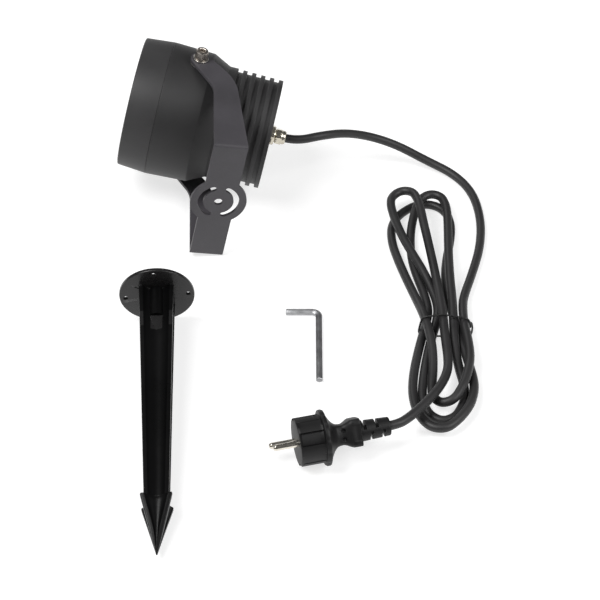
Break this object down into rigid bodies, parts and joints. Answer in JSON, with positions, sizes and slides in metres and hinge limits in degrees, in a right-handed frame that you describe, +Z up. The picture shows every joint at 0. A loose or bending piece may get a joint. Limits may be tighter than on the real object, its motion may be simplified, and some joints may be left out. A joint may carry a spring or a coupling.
{
  "type": "projector lamp kit",
  "caption": "Projector lamp head tilting in a U-shaped bracket, with its gland, coiled lead and earthed plug, laid out beside its barbed ground stake and hex key.",
  "frame": {"origin": "on the table under the middle of the box round the lamp, the stake and the key", "axes": "+Z up from the table, +Y along the longer side of the layout from the stake's tip towards the lamp, +X towards the coiled lead"},
  "size_m": [0.3051, 0.4755, 0.136],
  "materials": {
    "lamp_coat": "matt fine-grained powder coat",
    "bracket_coat": "matt fine-grained powder coat",
    "window_glass": "clear polished",
    "lens_glass": "clear polished",
    "seal_rubber": "matt",
    "bright_steel": "satin",
    "gland_metal": "nickel plated, bright",
    "inner_plastic": "matt black",
    "reflector_metal": "bright",
    "wheel_glass": "coloured pattern glass",
    "board_green": "satin",
    "component_dark": "satin",
    "stake_plastic": "semi-gloss black moulding",
    "key_steel": "black-oxide, satin",
    "plug_rubber": "matt moulded rubber",
    "contact_metal": "nickel plated",
    "cable_rubber": "matt",
    "tie_plastic": "plastic-covered wire"
  },
  "bodies": {
    "lamp_head": {"front_hood": "lamp_coat", "front_gasket_ring": "seal_rubber", "front_window": "window_glass", "rear_gasket_ring": "seal_rubber", "main_housing": "lamp_coat", "finned_heat_sink": "lamp_coat", "housing_seal": "seal_rubber", "light_source": "board_green", "collector_cone": "reflector_metal", "condenser_lens": "lens_glass", "wheel_motor": "bright_steel", "carrier_plate": "inner_plastic", "carrier_posts": "bright_steel", "carrier_screws": "bright_steel", "lens_barrel": "inner_plastic", "projection_lens": "lens_glass", "lens_ring": "inner_plastic", "driver_board": "board_green", "board_posts": "bright_steel", "driver_capacitor": "component_dark", "driver_transformer": "component_dark", "gland_body": "gland_metal", "gland_seal": "seal_rubber", "gland_nut": "gland_metal", "pivot_screws": "bright_steel", "pivot_spring_washers": "bright_steel", "pivot_washers": "bright_steel", "friction_washers": "bright_steel", "plug_body": "plug_rubber", "plug_pins": "contact_metal", "plug_earth_clips": "contact_metal", "plug_sleeve": "plug_rubber", "cable_lead": "cable_rubber", "cable_tail": "cable_rubber", "cable_hank": "cable_rubber", "cable_tie": "tie_plastic"},
    "bracket": {"bracket": "bracket_coat"},
    "pattern_wheel": {"pattern_wheel": "wheel_glass", "wheel_shaft": "bright_steel"},
    "ground_stake": {"ground_stake": "stake_plastic"},
    "hex_key": {"hex_key": "key_steel"}
  },
  "joints": [
    {"name": "bracket_tilt", "type": "hinge", "parent": "lamp_head", "child": "bracket", "pos_m": [-0.02475, 0.1791, 0.06801], "axis": [0.2003, -0.0151, 0.9796], "range_deg": [-70, 40]},
    {"name": "wheel_spin", "type": "hinge", "parent": "lamp_head", "child": "pattern_wheel", "pos_m": [-0.03613, 0.18038, 0.05198], "axis": [0.9715, -0.1266, -0.2006], "continuous": true},
    {"name": "stake_lift", "type": "slide", "parent": "lamp_head", "child": "ground_stake", "axis": [0, 0, 1], "range_m": [0, 0.1]},
    {"name": "key_lift", "type": "slide", "parent": "lamp_head", "child": "hex_key", "axis": [0, 0, 1], "range_m": [0, 0.1]}
  ]
}
